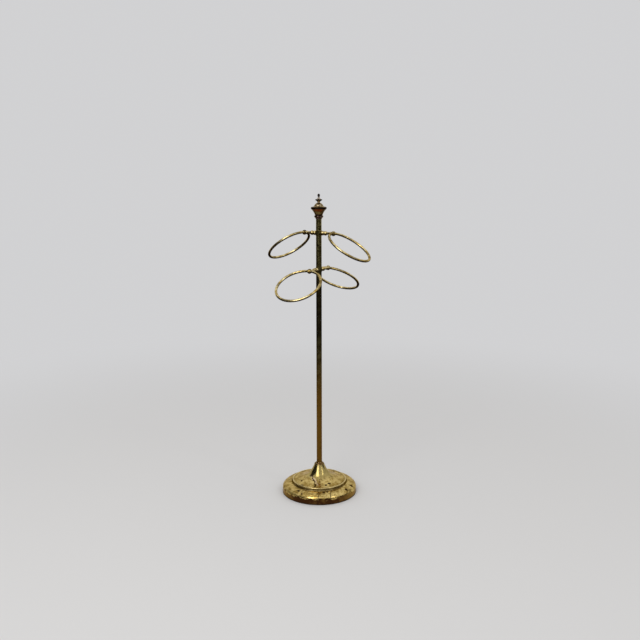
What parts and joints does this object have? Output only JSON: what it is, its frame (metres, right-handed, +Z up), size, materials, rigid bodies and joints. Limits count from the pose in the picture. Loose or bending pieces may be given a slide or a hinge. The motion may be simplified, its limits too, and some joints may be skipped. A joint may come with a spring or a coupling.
{
  "type": "freestanding towel stand",
  "caption": "Floor stand for hand towels: weighted round base, slim pole with a turned finial, and crossed pairs of turned arms that each carry a tilting ring.",
  "frame": {"origin": "on the floor, at the centre of the base's flat underside", "axes": "+Z up along the pole; the upper arms lie along X and the lower arms along Y"},
  "size_m": [0.3256, 0.3301, 0.914],
  "materials": {
    "base_brass": "polished, aged, with brown tarnish on the side",
    "pole_brass": "polished, aged and dark",
    "arm_brass": "polished, aged",
    "ring_brass": "polished",
    "finial_brass": "polished, aged, with brown tarnish",
    "steel": "zinc plated",
    "iron": "rough, painted black",
    "felt": "green felt"
  },
  "bodies": {
    "stand": {"felt_pad": "felt", "base_shell": "base_brass", "base_weight": "iron", "base_washer": "steel", "base_nut": "steel", "tie_rod": "steel", "neck_collar": "base_brass", "lower_tube": "pole_brass", "middle_tube": "pole_brass", "upper_tube": "pole_brass", "finial_collar": "finial_brass", "finial_cup": "finial_brass", "cup_nut": "steel", "finial_dome": "finial_brass", "finial_knob": "finial_brass"},
    "upper_arms": {"upper_hub": "pole_brass", "upper_right_arm": "arm_brass", "upper_left_arm": "arm_brass"},
    "lower_arms": {"lower_hub": "pole_brass", "lower_rear_arm": "arm_brass", "lower_front_arm": "arm_brass"},
    "upper_right_ring": {"upper_right_ring": "ring_brass"},
    "lower_rear_ring": {"lower_rear_ring": "ring_brass"},
    "upper_left_ring": {"upper_left_ring": "ring_brass"},
    "lower_front_ring": {"lower_front_ring": "ring_brass"}
  },
  "joints": [
    {"name": "upper_arms_turn", "type": "hinge", "parent": "stand", "child": "upper_arms", "pos_m": [0, 0, 0.8], "axis": [0, 0, 1], "continuous": true},
    {"name": "lower_arms_turn", "type": "hinge", "parent": "stand", "child": "lower_arms", "pos_m": [0, 0, 0.6923], "axis": [0, 0, 1], "continuous": true},
    {"name": "upper_right_ring_tilt", "type": "hinge", "parent": "upper_arms", "child": "upper_right_ring", "pos_m": [0.05035, 0, 0.8], "axis": [0, -0.9984, 0.0558], "range_deg": [-53.8, 93.2]},
    {"name": "lower_rear_ring_tilt", "type": "hinge", "parent": "lower_arms", "child": "lower_rear_ring", "pos_m": [0, 0.05035, 0.6923], "axis": [1, 0, -0.0087], "range_deg": [-52.2, 94.8]},
    {"name": "upper_left_ring_tilt", "type": "hinge", "parent": "upper_arms", "child": "upper_left_ring", "pos_m": [-0.05035, 0, 0.8], "axis": [0, 0.9936, -0.1132], "range_deg": [-49.8, 97.2]},
    {"name": "lower_front_ring_tilt", "type": "hinge", "parent": "lower_arms", "child": "lower_front_ring", "pos_m": [0, -0.05035, 0.6923], "axis": [-0.9995, 0, 0.0332], "range_deg": [-54.8, 92.2]}
  ]
}
